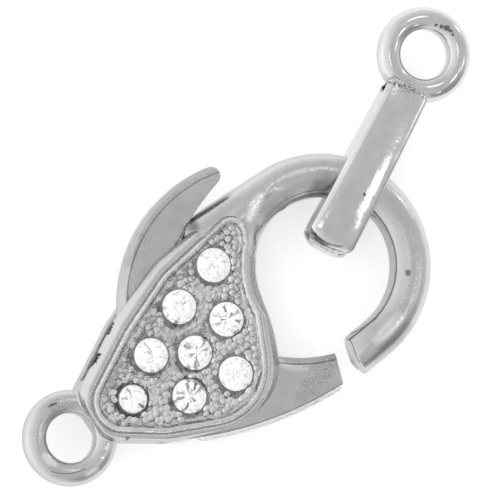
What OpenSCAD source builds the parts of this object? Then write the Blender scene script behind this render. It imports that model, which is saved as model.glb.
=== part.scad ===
/* [Eye and link ring] */
// Radius of the round hole in the tail eye and in the link's ring
eye_bore_r = 1.9; // [1.6:0.05:2.1]
// Width of the ring around that hole, seen from the front
eye_wall = 1.72; // [1.4:0.02:1.8]
// Radius of the ring's rounded section
eye_tube_r = 0.95; // [0.92:0.01:1.1]

/* [Housing] */
// Length of the housing from its nose beside the eye to its shoulder
housing_len = 18.9; // [17:0.1:21]
// Width that the housing's outline is drawn to
housing_wid = 14.6; // [13.5:0.1:16]
// Gap between the eye's hole and the housing's nose
nose_gap = 0.12; // [0.05:0.01:0.4]
// Thickness of the plain back plate
back_t = 1.05; // [0.9:0.05:1.4]
// Height of the slot that the lever swings in
slot_h = 2.1; // [1.9:0.05:2.4]
// Thickness of the front casting, from the slot to the shoulder around the rim
shoulder_t = 1.1; // [1:0.05:1.4]
// Straight edge of the front casting under its sloping flank
front_edge = 0.35; // [0.2:0.05:0.6]
// Chamfer around the back plate
back_chamfer = 0.25; // [0.1:0.05:0.5]

/* [Rim and field] */
// Height of the raised rim over the shoulder
rim_h = 0.4; // [0.2:0.05:0.6]
// Width of the raised rim
rim_w = 0.42; // [0.3:0.02:0.6]
// Width of the ledge inside the rim
ledge_w = 0.22; // [0.15:0.01:0.35]
// Depth of the ledge below the rim
ledge_drop = 0.25; // [0.1:0.05:0.35]
// Depth of the field's floor below the rim
field_drop = 0.5; // [0.4:0.02:0.6]
// Width of the flat shoulder along the outside of the rim
shoulder_w = 0.34; // [0.2:0.02:0.45]
// Width of the fine step between the rim and the flank on the hook's side
rim_step = 0.05; // [0.03:0.01:0.1]
// Width of the flank between the hook's opening and the rim
flank_w = 0.85; // [0.7:0.05:1.1]

/* [Grain] */
// Radius of one cast bead in the field
grain_r = 0.27; // [0.2:0.01:0.29]
// Distance from bead to bead
grain_pitch = 0.62; // [0.62:0.01:0.9]
// How far a bead may stray from its even place
grain_stray = 0.035; // [0:0.005:0.035]

/* [Stones] */
// Radius of a full-size stone
stone_r = 1.335; // [1.2:0.005:1.4]
// Height of the bevelled top of a stone
crown_h = 0.4; // [0.3:0.02:0.5]
// Height of a stone's straight girdle
girdle_h = 0.12; // [0.06:0.02:0.2]
// Depth of the pointed back of a stone
pavilion_h = 0.78; // [0.6:0.02:0.82]
// Height of a stone's girdle over the field's floor
stone_lift = 0.05; // [0:0.01:0.15]
// Play around a stone in its seat
seat_gap = 0.04; // [0.02:0.01:0.08]

/* [Hook] */
// Distance from the housing's shoulder to the middle of the hook
hook_offset = 2.53; // [2.3:0.01:2.9]
// Radius of the hook's opening
opening_r = 5.43; // [5.1:0.01:5.7]
// Width of the hook's rod in the middle of its arm
rod_w = 3.04; // [2.6:0.02:3.3]
// Height of the hook's rod
rod_h = 2.8; // [2.6:0.05:3]
// Shift of the opening towards the tip, which thins the rod there
tip_thinning = 0.3; // [0:0.02:0.4]
// Length of the straight end that the arm runs out into
tip_straight = 2.4; // [2:0.1:3]
// Distance of the cut end of the hook from its middle line
tip_cut = 1.5; // [1.3:0.05:1.7]
// Slant of the hook's cut end, in degrees
tip_slant = 13; // [5:1:19]
// Height of the spine's outer edge over the clasp's long axis
spine_y = 8.5; // [8.3:0.05:8.8]

/* [Lever] */
// Angle that the lever opens by, in degrees
lever_open = 25; // [15:1:26]
// Play between the lever and each side of its slot
lever_gap = 0.1; // [0.06:0.01:0.15]
// Play between the lever's edge and the housing's inner walls
sweep_gap = 0.15; // [0.1:0.01:0.25]
// Radius of the lever's round hub
hub_r = 2.7; // [2.5:0.05:2.8]
// Radius of the heel that stiffens the lever beside its hub
heel_r = 3.2; // [3:0.05:3.3]
// Distance of the thumb tab's tip behind the middle of the hook
thumb_lag = 3.35; // [3:0.05:3.8]
// Height of the thumb tab's tip over the clasp's long axis
thumb_rise = 10.3; // [10.1:0.05:10.8]
// Radius of the thumb tab's rounded end
thumb_tip_r = 0.7; // [0.6:0.02:0.75]
// Radius of the long outer curve of the thumb tab
thumb_arc_r = 11.2; // [10.9:0.05:11.6]
// Radius of the inner curve of the thumb tab
thumb_inner_r = 20.8; // [20.5:0.1:21.1]
// Gap between the end of the gate and the hook's tip
gate_gap = 1.45; // [1.3:0.05:1.8]
// Step from the hook's opening out to the upper edge of the gate's end
gate_step = 0.57; // [0.45:0.02:0.75]
// Step from the outside of the hook out to the lower edge of the gate's end
gate_overhang = 0.12; // [0:0.02:0.3]
// Radius of the hollow curve along the top of the gate
gate_hollow_r = 10.25; // [10:0.05:10.4]
// Radius of the long curve along the bottom of the gate
gate_belly_r = 29.4; // [29.1:0.1:29.7]
// Slant of the gate's end, in degrees
gate_slant = 19; // [12:1:24]

/* [Pivot and spring] */
// Radius of the pivot pin
pivot_r = 0.6; // [0.45:0.05:0.7]
// Play between the lever's hole and the pin
pivot_play = 0.05; // [0.03:0.01:0.1]
// Play between the housing's hole and the pin
pin_fit = 0.02; // [0.01:0.01:0.05]
// Depth of the pin's end below the back plate
pin_recess = 0.05; // [0:0.01:0.1]
// Diameter of the spring wire
wire_d = 0.34; // [0.3:0.02:0.38]
// Play between the spring's turns and the pin
coil_gap = 0.2; // [0.15:0.01:0.3]
// Length of each straight leg of the spring
leg_len = 2.45; // [2.2:0.05:2.5]

/* [Link] */
// Angle of the link's place on the hook, from the clasp's long axis, in degrees
link_angle = 29.3; // [20:0.1:40]
// Distance from the middle of the hook to the middle of the link's ring
link_reach = 17.9; // [17.5:0.05:19]
// Distance from the middle of the hook to the link's inner end
link_near = 1.1; // [0.9:0.05:1.4]
// Angle that the band leans by, seen from its ring, in degrees
band_lean = 1.4; // [0:0.1:2]
// Thickness of the link's flat band
band_t = 0.65; // [0.5:0.05:0.8]
// Width of the band at the ring
band_ring_w = 3.3; // [3:0.05:3.5]
// Width of the band at its inner end
band_end_w = 3.75; // [3.5:0.05:4]
// Radius of the band's bends at its inner end
band_bend_r = 1.1; // [0.9:0.05:1.4]
// Size of the cut corners at the band's inner end
band_corner = 0.9; // [0.6:0.05:1.1]
// Play between the band and the hook's rod, front and back
link_gap = 0.25; // [0.15:0.05:0.4]
// How far the band's outer end runs into the ring
solder_lap = 0.72; // [0.5:0.02:0.9]

/* [Hidden] */
$fn = 96;
hull_fn = 32;
eps = 0.01;
over = 1;

// Heights, counted from the middle of the hook's rod
back_z = -(rod_h / 2 + link_gap + band_t);
slot_z = back_z + back_t;
slot_top = slot_z + slot_h;
shoulder_z = slot_top + shoulder_t;
rim_z = shoulder_z + rim_h;
ledge_z = rim_z - ledge_drop;
field_z = rim_z - field_drop;
lever_z = slot_z + lever_gap;
lever_t = slot_h - 2 * lever_gap;
pin_reach = 0.4;
pin_top = slot_top + pin_reach;
coil_r = pivot_r + coil_gap + wire_d / 2;
coil_lift = 0.1;
turn_step = wire_d - 0.02;

// Places along the clasp
nose_x = eye_bore_r + nose_gap;
hook_x = nose_x + housing_len + hook_offset;
hook_out_r = opening_r + rod_w;
opening_at = [hook_x, -tip_thinning];
shoulder_x = nose_x + housing_len;
slot_end_x = shoulder_x - 1.9;
tip_x = hook_x - tip_cut;
tip_bend = -85;
cheek_turn = 14;
cheek_top = 0.5;
function at(share) = [nose_x + share[0] * housing_len, share[1] * housing_wid];

// Round corners of the housing's foot: place as shares of length and width, radius as a share of width
foot_corners = [
    [0.078, 0.106, 0.103],
    [0.068, -0.068, 0.089],
    [0.295, -0.137, 0.199],
    [0.564, -0.127, 0.301],
    [0.914, 0.435, 0.113],
    [0.592, 0.336, 0.168],
    [0.348, 0.212, 0.178],
];
// Round corners of the raised rim, in the same shares
rim_corners = [
    [0.134, 0.010, 0.164],
    [0.274, -0.103, 0.178],
    [0.506, -0.090, 0.313],
    [0.880, 0.411, 0.089],
    [0.581, 0.288, 0.154],
    [0.348, 0.158, 0.164],
];
// Stones: place as shares of length and width, radius as a share of a full-size stone, depth sunk
stones = [
    [0.747, 0.324, 1, 0],
    [0.537, 0.247, 1, 0],
    [0.669, 0.056, 1, 0],
    [0.333, 0.123, 1, 0],
    [0.487, 0.006, 1, 0],
    [0.578, -0.202, 1, 0],
    [0.371, -0.162, 1, 0],
    [0.174, -0.012, 0.9, 0.12],
];

// Posts inside the spine: distance behind the middle of the hook, drop below its edge, bottom, top
spine_post_r = 1.6;
spine_posts = [
    [0.5, 0.05, -rod_h / 2, rod_h / 2],
    [hook_offset + 2.3, 0.6, back_z + back_chamfer, shoulder_z],
    [hook_offset + 3.9, 0, slot_z - front_edge, slot_top],
];

// Lever: its pivot and heel, and the directions from its two ends to the centres of its four arcs
pivot_at = at([0.221, 0.082]);
heel_at = at([0.338, -0.151]);
thumb_arc_dir = 258.5;
thumb_inner_dir = -76.4;
gate_hollow_dir = 71.7;
gate_belly_dir = 88.2;
function toward(angle) = [cos(angle), sin(angle)];
thumb_tip_at = [hook_x - thumb_lag, thumb_rise];
thumb_arc_at = thumb_tip_at + (thumb_arc_r - thumb_tip_r) * toward(thumb_arc_dir);
thumb_inner_at = thumb_tip_at + (thumb_inner_r + thumb_tip_r) * toward(thumb_inner_dir);
gate_end_x = tip_x - gate_gap;
gate_low_x = gate_end_x - 0.7;
gate_top_y = -(opening_r + gate_step);
gate_low_y = -(hook_out_r + gate_overhang);
gate_hollow_at = [gate_end_x, gate_top_y] + gate_hollow_r * toward(gate_hollow_dir);
gate_belly_at = [gate_low_x, gate_low_y] + gate_belly_r * toward(gate_belly_dir);

function turned(point, pivot, angle) =
    let (arm = point - pivot)
    pivot + [arm[0] * cos(angle) - arm[1] * sin(angle), arm[0] * sin(angle) + arm[1] * cos(angle)];

// Distance from a point to the edge of the shape drawn around a set of round corners, positive inside
function depth_inside(point, corners) =
    min([for (a = [0 : 7.5 : 359])
        let (n = [cos(a), sin(a)])
        max([for (c = corners) at(c) * n + c[2] * housing_wid]) - point * n]);

module corner_shape(corners, inset)
    hull() for (c = corners)
        translate(at(c)) circle(c[2] * housing_wid - inset, $fn = hull_fn);

// Ring with a rounded section and a straight-walled hole, lying flat
module eye_ring()
    difference() {
        rotate_extrude()
            translate([eye_bore_r + eye_wall - eye_tube_r, 0])
                circle(eye_tube_r, $fn = 48);
        eye_hole();
    }

module eye_hole()
    translate([0, 0, -housing_wid / 2]) cylinder(h = housing_wid, r = eye_bore_r);

// Solid block of the housing: chamfered foot, straight edge, then flanks that slope in to the rim
module housing_block()
    difference() {
        hull() {
            for (c = foot_corners) translate(at(c)) {
                translate([0, 0, back_z])
                    cylinder(h = eps, r = c[2] * housing_wid - back_chamfer, $fn = hull_fn);
                translate([0, 0, back_z + back_chamfer])
                    cylinder(h = slot_top + front_edge - back_z - back_chamfer,
                             r = c[2] * housing_wid, $fn = hull_fn);
            }
            for (c = rim_corners) translate([each at(c), shoulder_z - eps])
                cylinder(h = eps, r = c[2] * housing_wid + shoulder_w, $fn = hull_fn);
        }
        translate([each opening_at, slot_top + front_edge])
            cylinder(h = shoulder_t - front_edge + eps,
                     r1 = opening_r, r2 = opening_r + flank_w - rim_step);
        translate([hook_x - opening_r, cheek_top, back_z - over]) rotate(-cheek_turn)
            translate([0, -housing_wid / 3, 0]) cube([over, housing_wid / 3, housing_wid]);
        translate([nose_x - over, -housing_wid / 2, back_z - over])
            cube([over, housing_wid, housing_wid]);
    }

// Outline of the raised rim, hollowed on the side of the hook
module rim_shape(inset)
    difference() {
        corner_shape(rim_corners, inset);
        translate(opening_at) circle(opening_r + flank_w + inset);
    }

module rim()
    translate([0, 0, slot_top]) linear_extrude(rim_z - slot_top) rim_shape(0);

module field_hollow() {
    translate([0, 0, ledge_z]) linear_extrude(ledge_drop + over) rim_shape(rim_w);
    translate([0, 0, field_z]) linear_extrude(field_drop + over) rim_shape(rim_w + ledge_w);
}

// Ring of the rod that runs out into a short straight end with a slanted cut
module hook()
    difference() {
        translate([hook_x, 0, 0]) {
            difference() {
                rotate_extrude() rod_section(opening_r - over);
                rotate(tip_bend) translate([-2 * hook_out_r, -2 * hook_out_r, -rod_h])
                    cube([4 * hook_out_r, 2 * hook_out_r, 2 * rod_h]);
            }
            rotate_extrude(start = tip_bend, angle = -2 * tip_bend) rod_section(opening_r - over);
            rotate(tip_bend) rotate([90, 0, 0])
                linear_extrude(tip_straight) rod_section(opening_r + tip_thinning);
        }
        translate([tip_x, -opening_r, -rod_h]) rotate(-tip_slant)
            translate([-tip_straight, -hook_out_r, 0]) cube([tip_straight, 2 * opening_r, 2 * rod_h]);
    }

// Section of the rod, flat on the inside and round on the outside
module rod_section(inner_r) {
    translate([hook_out_r - rod_h / 2, 0]) circle(rod_h / 2, $fn = 48);
    translate([inner_r, -rod_h / 2]) square([hook_out_r - rod_h / 2 - inner_r, rod_h]);
}

// Fairing that carries the hook's rod back into the shoulder and the spine
module spine()
    hull() for (post = spine_posts)
        translate([hook_x - post[0], spine_y - spine_post_r - post[1], post[2]])
            cylinder(h = post[3] - post[2], r = spine_post_r, $fn = hull_fn);

// Part of the slot's plan that stays solid behind the lever, out of its sweep
module spine_web()
    intersection() {
        for_gate(0) circle(gate_hollow_r - sweep_gap);
        for_gate(lever_open) circle(gate_hollow_r - sweep_gap);
        translate(thumb_inner_at) circle(thumb_inner_r - sweep_gap);
    }

module for_gate(angle)
    translate(turned(gate_hollow_at, pivot_at, angle)) children();

// Part of the slot's plan that stays solid at the eye, with a window beside the hub
module tail_web() {
    web_end = pivot_at[0] - hub_r / 3;
    window_x = at(foot_corners[0])[0] - 0.2;
    difference() {
        union() {
            translate([0, -housing_wid]) square([web_end, 2 * housing_wid]);
            translate([0, -housing_wid]) square([heel_at[0], housing_wid]);
        }
        translate(pivot_at) circle(hub_r + sweep_gap);
        offset(delta = sweep_gap) heel_shape();
        translate([window_x, pivot_at[1]]) square(housing_wid);
    }
}

module slot()
    translate([0, 0, slot_z]) linear_extrude(slot_h)
        difference() {
            translate([0, -housing_wid]) square([slot_end_x, 2 * housing_wid]);
            spine_web();
            tail_web();
        }

module heel_shape()
    hull() {
        translate(pivot_at) circle(hub_r, $fn = 64);
        translate(heel_at) circle(heel_r, $fn = 64);
    }

// Lever seen from the front: thumb tab, hub and gate in one plate
module lever_plan()
    difference() {
        union() {
            intersection() {
                translate(thumb_arc_at) circle(thumb_arc_r);
                translate(gate_belly_at) circle(gate_belly_r);
                polygon([
                    [0, -housing_wid],
                    gate_end(-housing_wid),
                    gate_end(0),
                    [thumb_tip_at[0], 0],
                    [thumb_tip_at[0], housing_wid],
                    [0, housing_wid],
                ]);
            }
            translate(thumb_tip_at) circle(thumb_tip_r);
            intersection() {
                heel_shape();
                translate(gate_belly_at) circle(gate_belly_r);
            }
        }
        intersection() {
            translate(gate_hollow_at) circle(gate_hollow_r);
            translate(thumb_inner_at) circle(thumb_inner_r);
        }
    }

function gate_end(y) = [gate_end_x + (y - gate_top_y) * tan(gate_slant), y];

module lever()
    color("lightgray") difference() {
        translate([0, 0, lever_z]) linear_extrude(lever_t) lever_plan();
        translate([each pivot_at, lever_z - over])
            cylinder(h = lever_t + 2 * over, r = pivot_r + pivot_play);
        spring_room();
    }

// Pocket for the spring, with room for each leg over the whole swing
module spring_room() {
    room_gap = 0.4;
    room_r = coil_r + wire_d / 2 + room_gap;
    room_reach = leg_len + 2 * room_gap;
    leg_in = asin((coil_r + wire_d / 2) / room_r);
    leg_out = atan((coil_r - wire_d / 2) / leg_len);
    spare = 7;
    translate([each pivot_at, lever_z + lever_t / 2]) linear_extrude(lever_t) {
        circle(room_r);
        for (side = [0, 180])
            sector(side - leg_in - lever_open - spare, side - leg_out + spare, room_reach);
    }
}

module sector(from, to, reach)
    polygon([[0, 0], for (a = [from : (to - from) / 4 : to]) reach * [cos(a), sin(a)]]);

// Two close turns of wire with one leg to the housing and one to the lever
module spring()
    color("gray") translate([each pivot_at, lever_z + lever_t / 2 + wire_d / 2 + coil_lift]) {
        for (turn = [0, 1]) translate([0, 0, turn * turn_step])
            rotate_extrude() translate([coil_r, 0]) circle(wire_d / 2, $fn = 24);
        translate([0, -coil_r, 0]) rotate([0, 90, 0]) cylinder(h = leg_len, r = wire_d / 2, $fn = 24);
        translate([0, coil_r, turn_step]) rotate([0, -90, 0])
            cylinder(h = leg_len, r = wire_d / 2, $fn = 24);
    }

module pivot_pin()
    color("dimgray") translate([each pivot_at, back_z + pin_recess])
        cylinder(h = pin_top - back_z - pin_recess, r = pivot_r);

module pin_hole()
    translate([each pivot_at, back_z - over])
        cylinder(h = pin_top + pin_fit - back_z + over, r = pivot_r + pin_fit);

// Cast beads that fill the field between the stones
grain_low = at([0, -0.5]);
grain_steps = [ceil(housing_len / grain_pitch), ceil(housing_wid * 1.1 / (grain_pitch * sin(60)))];
grain_margin = rim_w + ledge_w + grain_r;
grain_spare = 0.02;
function stray(seed) = grain_stray * sin(seed * 137.5);
function stone_clear(point) =
    min([for (s = stones) norm(point - at(s)) - stone_r * s[2]]) - seat_gap - grain_r;
grains = [
    for (row = [0 : grain_steps[1]], col = [0 : grain_steps[0]])
        let (even = grain_low + grain_pitch * [col + (row % 2) / 2, row * sin(60)],
             seed = row * 31 + col * 17,
             place = even + [stray(seed), stray(seed + 5)])
        if (depth_inside(place, rim_corners) > grain_margin
            && norm(place - opening_at) > opening_r + flank_w + grain_margin
            && stone_clear(place) > grain_spare)
            place
];

module grain()
    for (place = grains)
        translate([each place, field_z]) sphere(grain_r, $fn = 16);

module seats()
    for (s = stones)
        translate([each at(s), field_z + stone_lift - s[3]]) {
            translate([0, 0, -seat_gap]) cylinder(h = over, r = stone_r * s[2] + seat_gap);
            translate([0, 0, -pavilion_h - seat_gap])
                cylinder(h = pavilion_h, r1 = 1.5 * culet_r, r2 = stone_r * s[2] + seat_gap);
        }

module body()
    color("silver") {
        difference() {
            union() {
                housing_block();
                rim();
                hook();
                spine();
                eye_ring();
            }
            translate([each opening_at, -housing_wid / 2]) cylinder(h = housing_wid, r = opening_r);
            slot();
            field_hollow();
            seats();
            pin_hole();
            eye_hole();
        }
        grain();
    }

// Share of a stone's width that its flat table takes, and the blunt point of its back
table_share = 0.56;
culet_r = 0.1;

// Cut stone: table and eight crown facets, girdle, eight-sided pointed back
module stone(index) {
    s = stones[index - 1];
    r = stone_r * s[2];
    corner_r = r / cos(22.5);
    back = pavilion_h * s[2];
    crown = crown_h * s[2];
    color("white") translate([each at(s), field_z + stone_lift - s[3]]) intersection() {
        translate([0, 0, -back]) cylinder(h = back + girdle_h + crown, r = r);
        union() {
            translate([0, 0, girdle_h])
                cylinder(h = crown, r1 = corner_r, r2 = corner_r * table_share, $fn = 8);
            cylinder(h = girdle_h, r = corner_r, $fn = 8);
            translate([0, 0, -back]) cylinder(h = back, r1 = culet_r, r2 = corner_r, $fn = 8);
        }
    }
}

// Flat band bent into a long closed loop around the hook's rod, with a ring soldered to its end
module link()
    color("whitesmoke") translate([hook_x, 0, 0] + link_reach * [each toward(link_angle), 0])
        rotate(link_angle - band_lean) translate([-link_reach, 0, 0]) difference() {
            union() {
                intersection() {
                    translate([0, band_end_w, 0]) rotate([90, 0, 0]) linear_extrude(2 * band_end_w)
                        difference() {
                            band_side(0);
                            band_side(band_t);
                        }
                    band_front();
                }
                translate([link_reach, 0, 0]) eye_ring();
            }
            translate([link_reach, 0, 0]) eye_hole();
        }

band_far = link_reach - eye_bore_r - eye_wall + solder_lap;

// Side view of the band: a long loop, half round at the ring and tightly bent at its inner end
module band_side(inset) {
    half = -back_z;
    translate([band_far - half, 0]) circle(half - inset);
    for (side = [-1, 1]) translate([link_near + band_bend_r, side * (half - band_bend_r)])
        circle(band_bend_r - inset);
    translate([link_near + inset, band_bend_r - half])
        square([2 * band_bend_r, 2 * (half - band_bend_r)]);
    translate([link_near + band_bend_r, inset - half])
        square([band_far - link_near - band_bend_r - half, 2 * (half - inset)]);
}

// Front view of the band: tapered, with its inner corners cut
module band_front()
    translate([0, 0, -housing_wid / 2]) linear_extrude(housing_wid) polygon([
        [link_near - eps, band_end_w / 2 - band_corner],
        [link_near + band_corner, band_end_w / 2],
        [band_far + eps, band_ring_w / 2],
        [band_far + eps, -band_ring_w / 2],
        [link_near + band_corner, -band_end_w / 2],
        [link_near - eps, band_corner - band_end_w / 2],
    ]);

body();
lever();
pivot_pin();
spring();
link();
stone(1);  // stone_1
stone(2);  // stone_2
stone(3);  // stone_3
stone(4);  // stone_4
stone(5);  // stone_5
stone(6);  // stone_6
stone(7);  // stone_7
stone(8);  // stone_8
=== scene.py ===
import bpy, bmesh, math, random
from mathutils import Matrix, Vector


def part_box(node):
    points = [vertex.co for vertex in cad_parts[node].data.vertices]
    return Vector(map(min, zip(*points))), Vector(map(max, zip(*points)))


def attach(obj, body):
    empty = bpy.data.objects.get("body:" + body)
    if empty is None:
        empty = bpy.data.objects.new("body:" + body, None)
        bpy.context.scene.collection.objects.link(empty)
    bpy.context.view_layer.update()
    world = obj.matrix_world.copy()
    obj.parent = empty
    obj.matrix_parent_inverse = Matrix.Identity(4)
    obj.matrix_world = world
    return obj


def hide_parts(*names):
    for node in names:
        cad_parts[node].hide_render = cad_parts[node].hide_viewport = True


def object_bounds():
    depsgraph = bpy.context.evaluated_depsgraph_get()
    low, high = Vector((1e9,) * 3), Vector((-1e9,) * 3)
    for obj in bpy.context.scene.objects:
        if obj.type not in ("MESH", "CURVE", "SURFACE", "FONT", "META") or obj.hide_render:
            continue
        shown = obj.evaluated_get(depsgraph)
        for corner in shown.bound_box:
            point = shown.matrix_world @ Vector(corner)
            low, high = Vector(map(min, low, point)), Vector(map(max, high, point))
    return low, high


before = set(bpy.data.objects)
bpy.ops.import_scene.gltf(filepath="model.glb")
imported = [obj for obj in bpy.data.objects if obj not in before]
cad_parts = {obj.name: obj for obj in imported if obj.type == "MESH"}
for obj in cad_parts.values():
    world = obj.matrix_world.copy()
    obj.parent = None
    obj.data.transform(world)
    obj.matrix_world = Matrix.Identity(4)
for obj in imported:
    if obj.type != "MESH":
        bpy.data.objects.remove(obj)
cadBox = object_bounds()
mm = 0.001
print("frame loaded:", len(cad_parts), "nodes")

camera = {
    "lean": 13,  # degrees from straight above
    "leanSide": 196,  # picture direction that the camera leans to, degrees from picture right
    "axisTurn": 33.99,  # clasp's long axis in the picture, degrees from picture right
    "distance": 1200,  # mm
    "frameWidth": 37.5,  # mm seen across the picture
    "pixels": 500,
    "eyePixel": (69.3, 438.3),  # where the tail eye's centre sits in the picture
    "sensor": 36,
}


def cameraAxes():
    lean = math.radians(camera["lean"])
    turn = math.radians(camera["leanSide"])
    side = Vector((math.cos(turn), math.sin(turn)))
    cross = Vector((-side.y, side.x))
    toward = Vector((side.x * math.sin(lean), side.y * math.sin(lean), math.cos(lean)))
    along = Vector((side.x * math.cos(lean), side.y * math.cos(lean), -math.sin(lean)))
    across = Vector((cross.x, cross.y, 0))
    right = side.x * along + cross.x * across
    up = side.y * along + cross.y * across
    turn = Matrix.Rotation(-math.radians(camera["axisTurn"]), 3, "Z")
    return turn @ right, turn @ up, turn @ toward


def newObject(name, data):
    thing = bpy.data.objects.new(name, data)
    bpy.context.scene.collection.objects.link(thing)
    return thing


def addCamera():
    right, up, toward = cameraAxes()
    pixel = camera["frameWidth"] / camera["pixels"]
    half = camera["pixels"] / 2
    across, down = camera["eyePixel"]
    middle = right * (half - across) * pixel + up * (down - half) * pixel
    data = bpy.data.cameras.new("camera")
    data.sensor_width = camera["sensor"]
    data.lens = camera["sensor"] * camera["distance"] / camera["frameWidth"]
    data.clip_start = 0.01
    cam = newObject("camera", data)
    place = (middle + toward * camera["distance"]) * mm
    cam.matrix_world = Matrix((
        (right.x, up.x, toward.x, place.x),
        (right.y, up.y, toward.y, place.y),
        (right.z, up.z, toward.z, place.z),
        (0, 0, 0, 1),
    ))
    bpy.context.scene.camera = cam
    print("camera placed")


def addPiece(shape, name, material, body, slotName, *nodes):
    bmesh.ops.scale(shape, vec=(mm, mm, mm), verts=shape.verts)
    mesh = bpy.data.meshes.new(name)
    shape.to_mesh(mesh)
    shape.free()
    mesh.polygons.foreach_set("use_smooth", [True] * len(mesh.polygons))
    piece = newObject(name, mesh)
    mesh.materials.append(material)
    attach(piece, body)
    if nodes:
        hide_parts(*nodes)
    print("piece", name, len(mesh.polygons), "faces")
    return piece


def cadShape(node):  # a CAD node's mesh as one merged shape, in mm
    shape = bmesh.new()
    shape.from_mesh(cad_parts[node].data)
    bmesh.ops.scale(shape, vec=(1 / mm, 1 / mm, 1 / mm), verts=shape.verts)
    bmesh.ops.remove_doubles(shape, verts=shape.verts, dist=0.0005)
    return shape


def everything(shape):
    return shape.verts[:] + shape.edges[:] + shape.faces[:]


def addShape(shape, other):  # joins another shape to this one
    carrier = bpy.data.meshes.new("carrier")
    other.to_mesh(carrier)
    other.free()
    shape.from_mesh(carrier)
    bpy.data.meshes.remove(carrier)


def following(items):  # each item of a closed round with the next one
    return zip(items, items[1:] + items[:1])


def sectionLoops(node, height):  # the outlines of a CAD node at a height, longest first
    shape = cadShape(node)
    bmesh.ops.bisect_plane(shape, geom=everything(shape), dist=0.0001, plane_co=(0, 0, height),
                           plane_no=(0, 0, 1), clear_inner=True, clear_outer=True)
    bmesh.ops.remove_doubles(shape, verts=shape.verts, dist=0.02)
    left = dict.fromkeys(shape.verts)  # keeps its order, as a set doesn't
    loops = []
    while left:
        verts = [left.popitem()[0]]
        while True:
            near = [e.other_vert(verts[-1]) for e in verts[-1].link_edges]
            near = [v for v in near if v in left]
            if not near:
                break
            verts.append(near[0])
            left.pop(near[0])
        loops.append([v.co.copy() for v in verts])
    shape.free()
    return sorted(loops, key=lambda loop: -sum((a - b).length for a, b in following(loop)))


def ringOfEdges(shape, points):
    verts = [shape.verts.new(p) for p in points]
    return [shape.edges.new(pair) for pair in following(verts)]


def softLoop(points, cuts):  # a smooth closed curve through a few points
    count = len(points)
    soft = []
    for i in range(count):
        a, b, c, d = (Vector(points[(i + k) % count]) for k in (-1, 0, 1, 2))
        for step in range(cuts):
            t = step / cuts
            soft.append(0.5 * (2 * b + (c - a) * t + (2 * a - 5 * b + 4 * c - d) * t * t
                               + (3 * b - 3 * c + d - a) * t * t * t))
    return soft


def boundaryOf(shape):
    return [e for e in shape.edges if len(e.link_faces) == 1]


def vertsIn(grown):  # the verts of what an operator has made
    return [v for v in grown if isinstance(v, bmesh.types.BMVert)]


def edgesAt(verts):  # every edge that meets one of these verts
    return list(dict.fromkeys(e for v in verts for e in v.link_edges))


def soften(shape, verts, factor, rounds):
    for turn in range(rounds):
        bmesh.ops.smooth_vert(shape, verts=verts, factor=factor,
                              use_axis_x=True, use_axis_y=True, use_axis_z=True)


def outward(shape):  # turns every face to the outside
    bmesh.ops.recalc_face_normals(shape, faces=shape.faces)
    return shape


def moveBy(shape, verts, step):
    bmesh.ops.translate(shape, vec=step, verts=verts)


def turnAbout(shape, verts, centre, degrees):
    turn = Matrix.Rotation(math.radians(degrees), 3, "Z")
    bmesh.ops.rotate(shape, verts=verts, cent=centre, matrix=turn)


def circleAt(shape, segments, radius, place, turn=0):  # level, and turned by some degrees
    made = bmesh.ops.create_circle(shape, cap_ends=False, segments=segments, radius=radius)["verts"]
    turnAbout(shape, made, (0, 0, 0), turn)
    moveBy(shape, made, place)
    return made


def cutAway(shape, point, normal):  # takes off what lies beyond a plane
    bmesh.ops.bisect_plane(shape, geom=everything(shape), dist=0.0001, plane_co=point,
                           plane_no=normal, clear_outer=True)


def closeOff(shape, normal):
    bmesh.ops.triangle_fill(shape, edges=boundaryOf(shape), use_beauty=True, normal=normal)


def remeshed(shape, voxel, rounds):  # one even skin over everything in the shape, softened
    mesh = bpy.data.meshes.new("rough")
    shape.to_mesh(mesh)
    shape.free()
    rough = newObject("rough", mesh)
    skin = rough.modifiers.new("skin", "REMESH")
    skin.mode = "VOXEL"
    skin.voxel_size = voxel
    bpy.context.view_layer.update()
    done = bpy.data.meshes.new_from_object(rough.evaluated_get(bpy.context.evaluated_depsgraph_get()))
    bpy.data.objects.remove(rough)
    shape = bmesh.new()
    shape.from_mesh(done)
    soften(shape, shape.verts, 0.5, rounds)
    return shape


casting = {
    "fieldCut": 1.84,  # height that the rough casting is cut at, under the field
    "shoulderTop": 1.95,
    "shoulderThick": 0.3,
    "outlineAt": (-0.02, 0.2),  # heights over it where its outer and inner outlines are read
    "armCut": 23.6,  # x beyond which the hook's arm is a piece of its own
    "tip": (20.5, -2),  # beyond this x and below this y it is the arm's end
    "eyeCut": 1.2,  # x before which the tail eye is a piece of its own
    "voxel": 0.11,
    "rounds": 3,
}

hookRod = {
    "centre": (23.45, 0),
    "section": [(5.66, 1.00), (5.56, 0.98), (5.44, 0.6), (5.38, 0.1), (5.38, -0.4), (5.55, -0.9),
                (5.95, -1.28), (6.5, -1.4), (7.1, -1.4), (7.85, -1.12), (8.33, -0.55), (8.47, 0),
                (8.33, 0.58), (7.95, 1.05), (7.5, 1.3), (7.0, 1.4), (6.5, 1.36), (6.05, 1.22),
                (5.76, 1.06)],  # distance from the hook's centre and height, in mm
    "tipBend": -85,  # degrees, where the arm runs out straight
    "straight": 2.6,
    "seam": 30,  # degrees, where the arm meets the rough casting, under the link
    "overlap": 3,
    "rootEnd": 158,
    "innerThick": 0.28,  # how much thicker the rod is on its inner side at the top, mm
    "innerReach": (6.2, 0.8),  # distance from the centre where that starts, and its run
    "endBevel": 0.16,
    "cutAt": (21.9, -5.8),
    "cutSlant": 13,  # degrees from the short axis
}


def rodSection(shape):  # the rod's outline, standing at angle 0 about the hook's centre
    cx, cy = hookRod["centre"]
    return ringOfEdges(shape, softLoop([(cx + r, cy, z) for r, z in hookRod["section"]], 4))


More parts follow.
